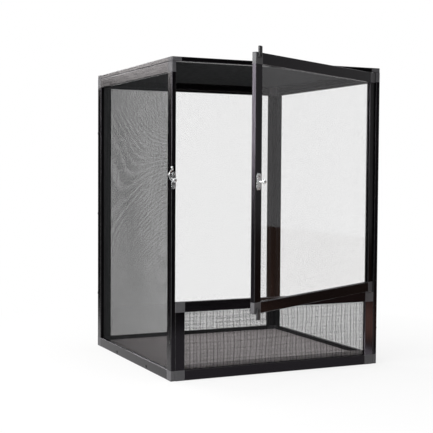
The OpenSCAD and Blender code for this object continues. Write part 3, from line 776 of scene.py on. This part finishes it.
hook_frame = facing(LATCH, FORWARD)
middle_z = HOOK_BACK + HOOK_T / 2
flat_rod = Matrix.Rotation(math.pi / 2, 4, "X") @ Matrix.Diagonal((HOOK_W / 2, HOOK_T / 2, 1, 1))
arc_start = (hook_frame @ Matrix.Translation((0, HOOK_THROW, middle_z)) @ Matrix.Rotation(HOOK_FROM, 4, "Z")
             @ Matrix.Translation((HOOK_R, 0, 0)))
bm = bmesh.new()
ring = bmesh.ops.create_circle(bm, segments=ROUND, radius=1.0, matrix=arc_start @ flat_rod)["verts"]
ring_edges = list({edge for vert in ring for edge in vert.link_edges})
bmesh.ops.spin(bm, geom=ring + ring_edges, cent=hook_frame @ Vector((0, HOOK_THROW, 0)), axis=FORWARD,
               dvec=(0, 0, 0), angle=HOOK_TO - HOOK_FROM, steps=ARC_STEPS)
bmesh.ops.holes_fill(bm, edges=[edge for edge in bm.edges if edge.is_boundary], sides=0)
tip_turn = Matrix.Rotation(math.pi / 2, 4, "Y") @ Matrix.Diagonal((HOOK_T / 2, HOOK_W / 2, 1, 1))
bmesh.ops.create_cone(bm, cap_ends=True, segments=ROUND, radius1=1.0, radius2=1.0, depth=TIP_L,
                      matrix=arc_start @ Matrix.Translation((TIP_L / 2, HOOK_W / 2, 0)) @ tip_turn)
bmesh.ops.create_uvsphere(bm, u_segments=ROUND, v_segments=ELBOW_RINGS, radius=1.0,
                          matrix=arc_start @ Matrix.Translation((0, HOOK_W / 2, 0))
                          @ Matrix.Diagonal((HOOK_W / 2, HOOK_W / 2, HOOK_T / 2, 1)))
bmesh.ops.create_uvsphere(bm, u_segments=ROUND, v_segments=BALL_RINGS, radius=BALL_R,
                          matrix=arc_start @ Matrix.Translation((TIP_L, HOOK_W / 2, 0)))
turned(bm, rounded(EYE_HOLE_R, EYE_R, HOOK_BACK, HOOK_BACK + HOOK_T, EYE_SOFT), hook_frame)
hook = make_piece("rounded_hook", bm, zinc_finish, "hook", "bright_metal", "latch_hook")
hook.data.shade_smooth()

# %% [markdown]
# ## Pressed plates and tabs
#
# The keeper plate and the latch plate are stamped from sheet, so their front edge is rolled over by the punch. The
# stop tabs are moulded with soft edges. Each is an outline of points, extruded to its thickness and bevelled along
# its front edge.

# %% Outlines and pressing
CORNER_STEPS = 6


def pressed(bm, outline, place, thick, soft):
    """Extrude an outline of (x, y) points along Z of a place and roll its front edge over."""
    part = bmesh.new()
    face = part.faces.new([part.verts.new((x, y, 0)) for x, y in outline])
    front = bmesh.ops.extrude_face_region(part, geom=[face])["geom"]
    tops = [item for item in front if isinstance(item, bmesh.types.BMVert)]
    bmesh.ops.translate(part, verts=tops, vec=(0, 0, thick))
    edges = [edge for edge in part.edges if all(vert.co.z > thick / 2 for vert in edge.verts)]
    bmesh.ops.bevel(part, geom=edges, offset=soft, segments=3, profile=0.5, affect="EDGES", material=-1)
    join(bm, part, place)


def round_plate(width, height, radius):
    """The outline of a plate with round corners, as (x, y) points."""
    points = []
    for turn, (x, y) in enumerate(((1, 1), (-1, 1), (-1, -1), (1, -1))):
        for n in range(CORNER_STEPS + 1):
            angle = (turn + n / CORNER_STEPS) * math.pi / 2
            points.append((x * (width / 2 - radius) + radius * math.cos(angle),
                           y * (height / 2 - radius) + radius * math.sin(angle)))
    return points


print("a round corner has", CORNER_STEPS, "steps")

# %% Plates and tabs with soft edges
ROLLED, TAB_SOFT = 0.0005, 0.0008
KEEPER_W, KEEPER_H, KEEPER_R = 0.012, 0.028, 0.0035
PLATE_W, PLATE_H = 0.0080, 0.0310
BOSS_R, BOSS_H, BOSS_FOOT, BOSS_SOFT = 0.0032, 0.0028, 0.0004, 0.0004
TAB_W, TAB_L, TAB_REACH, TAB_R = 0.0090, 0.0195, 0.0105, 0.0020

bm = bmesh.new()
pressed(bm, round_plate(KEEPER_W, KEEPER_H, KEEPER_R), door_turn @ facing(KEEPER, FORWARD), PLATE_T, ROLLED)
make_piece("rolled_keeper_plate", bm, zinc_finish, "door", "bright_metal", "keeper_plate")

bm = bmesh.new()
pressed(bm, round_plate(PLATE_W, PLATE_H, PLATE_W / 2), hook_frame, PLATE_T, ROLLED)
turned(bm, rounded(EYE_HOLE_R, BOSS_R, BOSS_FOOT, PLATE_T + BOSS_H, BOSS_SOFT), hook_frame)
make_piece("rolled_latch_plate", bm, zinc_finish, "cage", "bright_metal", "latch_plate")

tab = round_plate(TAB_W, TAB_L, TAB_R)
for name, edge, side in (("lower", DOOR_LOW, -1), ("upper", DOOR_HIGH, 1)):
    bm = bmesh.new()
    place = Vector((TAB_X, DOOR_FRONT, edge + side * (TAB_REACH - TAB_L / 2)))
    pressed(bm, tab, door_turn @ facing(place, FORWARD), TAB_T, TAB_SOFT)
    make_piece(f"soft_{name}_tab", bm, tab_finish, "door", "corner_block", f"{name}_stop_tab")

# %% [markdown]
# ## The white room
#
# The photograph's background is plain white. The world and the floor show the camera, mirrors and glass a white of
# strength 1, while the light that falls on the cage comes at a plain level from a softer world and six lamps. The
# floor keeps a share of its own shading, so that it still takes the cage's shadow.

# %% World
ROOM_LIGHT = 0.28


def sees_white(graph):
    """1 for rays from the camera, through glass or off a mirror, and 0 for the rest."""
    kinds = [graph.add("ShaderNodeLightPath", out=f"Is {kind} Ray")
             for kind in ("Camera", "Transmission", "Glossy")]
    return kinds[0].most(kinds[1]).most(kinds[2])


world = bpy.data.worlds.new("white_room")
world.use_nodes = True
world.cycles.sampling_method = "NONE"
scene.world = world
sky = Graph(world.node_tree)
sky.feed(sky.tree.nodes["Background"].inputs["Color"], grey(1.0))
sky.feed(sky.tree.nodes["Background"].inputs["Strength"],
         ROOM_LIGHT + (1 - ROOM_LIGHT) * sees_white(sky))
print("world light", ROOM_LIGHT)

# %% Floor
FLOOR_SIZE, FLOOR_LEVEL = 14.0, -0.0004
SHADE_SHARE, SHADE_FROM, SHADE_REACH = 0.22, 0.3, 0.8
PAPER_TONE, PAPER_ROUGH = 0.9, 0.9
bm = bmesh.new()
bmesh.ops.create_grid(bm, x_segments=1, y_segments=1, size=FLOOR_SIZE / 2,
                      matrix=Matrix.Translation((0, 0, FLOOR_LEVEL)))
mesh = bpy.data.meshes.new("studio_floor")
bm.to_mesh(mesh)
bm.free()
floor = bpy.data.objects.new("studio_floor", mesh)
scene.collection.objects.link(floor)

paper = Finish("white_paper")
paper.set({"Base Color": grey(PAPER_TONE), "Roughness": PAPER_ROUGH, "Specular IOR Level": 0.0})
reach = paper.add("ShaderNodeVectorMath", {"operation": "LENGTH"},
                  {0: paper.add("ShaderNodeTexCoord", out="Object")}, out="Value")
fade = paper.add("ShaderNodeMapRange", None,
                 {"Value": reach, "From Min": SHADE_FROM, "From Max": SHADE_REACH,
                  "To Min": 1 - SHADE_SHARE, "To Max": 1.0})
glow = paper.add("ShaderNodeEmission", None, {"Color": grey(1.0), "Strength": 1.0})
shown = paper.add("ShaderNodeMixShader", None,
                  {"Fac": sees_white(paper) * fade, 1: Signal(paper, paper.shader.outputs[0]), 2: glow})
paper.feed(paper.tree.nodes["Material Output"].inputs["Surface"], shown)
mesh.materials.append(paper.material)
print("floor", FLOOR_SIZE, "m across")

# %% [markdown]
# Soft lamps stand to the left, at the left rear, above, behind and in front. The big lamp at the left rear would turn
# the satin rails of the top white, so reflections don't see it. A small strip lamp takes its place there, and gives
# the top's left rail its bright line.

# %% Lamps
WHITE, WARM_WHITE = (1.0, 1.0, 1.0), (1.0, 0.95, 0.93)


def softbox(name, place, target, size, watts, tint=WHITE):
    """A rectangular lamp that shines from a place to a target."""
    lamp = bpy.data.lights.new(name, "AREA")
    lamp.shape, lamp.energy, lamp.color = "RECTANGLE", watts, tint
    lamp.size, lamp.size_y = size
    holder = bpy.data.objects.new(name, lamp)
    aim = (Vector(target) - Vector(place)).to_track_quat("-Z", "Y")
    holder.matrix_world = Matrix.Translation(place) @ aim.to_matrix().to_4x4()
    scene.collection.objects.link(holder)
    holder.visible_camera = False
    return holder


softbox("left_softbox", place=(-2.0, -0.35, 0.74), target=(0, 0, 0.45), size=(0.7, 0.7), watts=28)
left_rear = softbox("left_rear_softbox", place=(-1.3, 2.1, 1.45), target=(-0.2, 0, 0.5), size=(1.6, 1.6), watts=31,
                    tint=WARM_WHITE)
left_rear.visible_glossy = False
softbox("strip_softbox", place=(-1.03, 2.24, 1.02), target=(0.07, 0.14, 0.6), size=(0.56, 0.5), watts=3.6,
        tint=WARM_WHITE)
softbox("overhead_softbox", place=(0.2, -0.3, 2.3), target=(0, 0, 0.3), size=(1.6, 1.6), watts=18)
softbox("rear_softbox", place=(-0.4, 2.3, 1.2), target=(0, 0, 0.4), size=(0.6, 0.6), watts=5)
softbox("front_softbox", place=(-1.6, -1.2, 0.8), target=(0, -0.2, 0.3), size=(0.7, 0.7), watts=17)
print("six lamps")

# %% [markdown]
# ## Cards for the reflections
#
# Satin black shows little of its own colour and much of the room. A photographer stands dark cards round a black
# object, so that its faces stay black and only its top edges catch the light. These cards are seen by reflections
# alone: the camera, the glass and the light pass through them. The low brown card on the right is rolled a little, and
# its sloping upper edge is the line that the door's pane mirrors.

# %% Cards
UPRIGHT, FLAT = math.pi / 2, 0.0
ACROSS, SIDEWAYS, ASLANT = 0.0, math.pi / 2, math.radians(25)
PANE_LINE_SLOPE = math.radians(-6)
BLACK, DARK, PALE = grey(0.02), grey(0.15), grey(0.42)
BROWN, WARM = (0.10, 0.06, 0.045, 1.0), (0.8, 0.45, 0.32, 1.0)


def card(name, middle, size, turn, tilt, tone, roll=0.0):
    """A card that only reflections see: rolled in its plane, tilted about X, then turned about Z."""
    bm = bmesh.new()
    spot = (Matrix.Translation(middle) @ Matrix.Rotation(turn, 4, "Z") @ Matrix.Rotation(tilt, 4, "X")
            @ Matrix.Rotation(roll, 4, "Z") @ Matrix.Diagonal((size[0] / 2, size[1] / 2, 1, 1)))
    bmesh.ops.create_grid(bm, x_segments=1, y_segments=1, size=1.0, matrix=spot)
    mesh = bpy.data.meshes.new(name)
    bm.to_mesh(mesh)
    bm.free()
    cloth = Finish(name + "_cloth")
    # The card glows with its tone whatever the lamps do, so what a reflection shows of it is a painted reflection.
    cloth.set({"Base Color": grey(0.0), "Roughness": 1.0, "Specular IOR Level": 0.0,
               "Emission Color": tone, "Emission Strength": 1.0})
    mesh.materials.append(cloth.material)
    sheet = bpy.data.objects.new(name, mesh)
    scene.collection.objects.link(sheet)
    sheet.visible_camera = sheet.visible_diffuse = sheet.visible_transmission = False
    sheet.visible_shadow = sheet.visible_volume_scatter = False


card("front_card", (1.0, -3.0, 1.6), (6.0, 3.2), ACROSS, UPRIGHT, DARK)
card("left_card", (-2.4, -0.6, 0.26), (3.6, 0.5), SIDEWAYS, UPRIGHT, BLACK)
card("left_rear_card", (-1.09, 1.89, 0.40), (3.5, 0.80), ASLANT, UPRIGHT, BLACK)
card("left_floor_card", (-1.35, 0.95, 0.003), (2.0, 2.3), ACROSS, FLAT, BLACK)
card("right_low_card", (2.4, -0.6, 0.0615), (5.0, 0.20), SIDEWAYS, UPRIGHT, BROWN, roll=PANE_LINE_SLOPE)
card("right_floor_card", (1.35, -0.7, 0.003), (2.1, 2.6), ACROSS, FLAT, BROWN)
card("front_floor_card", (0.5, -1.9, 0.002), (5.0, 2.3), ACROSS, FLAT, BLACK)
card("right_high_card", (2.45, -0.6, 1.5), (5.0, 3.0), SIDEWAYS, UPRIGHT, PALE)
# The warm card glows warm on the floor in front of the right side: a painted warm reflection in the glossy stile under
# the door's hinge.
card("warm_card", (0.60, -0.68, 0.004), (0.45, 0.60), ACROSS, FLAT, WARM)
print("nine cards")
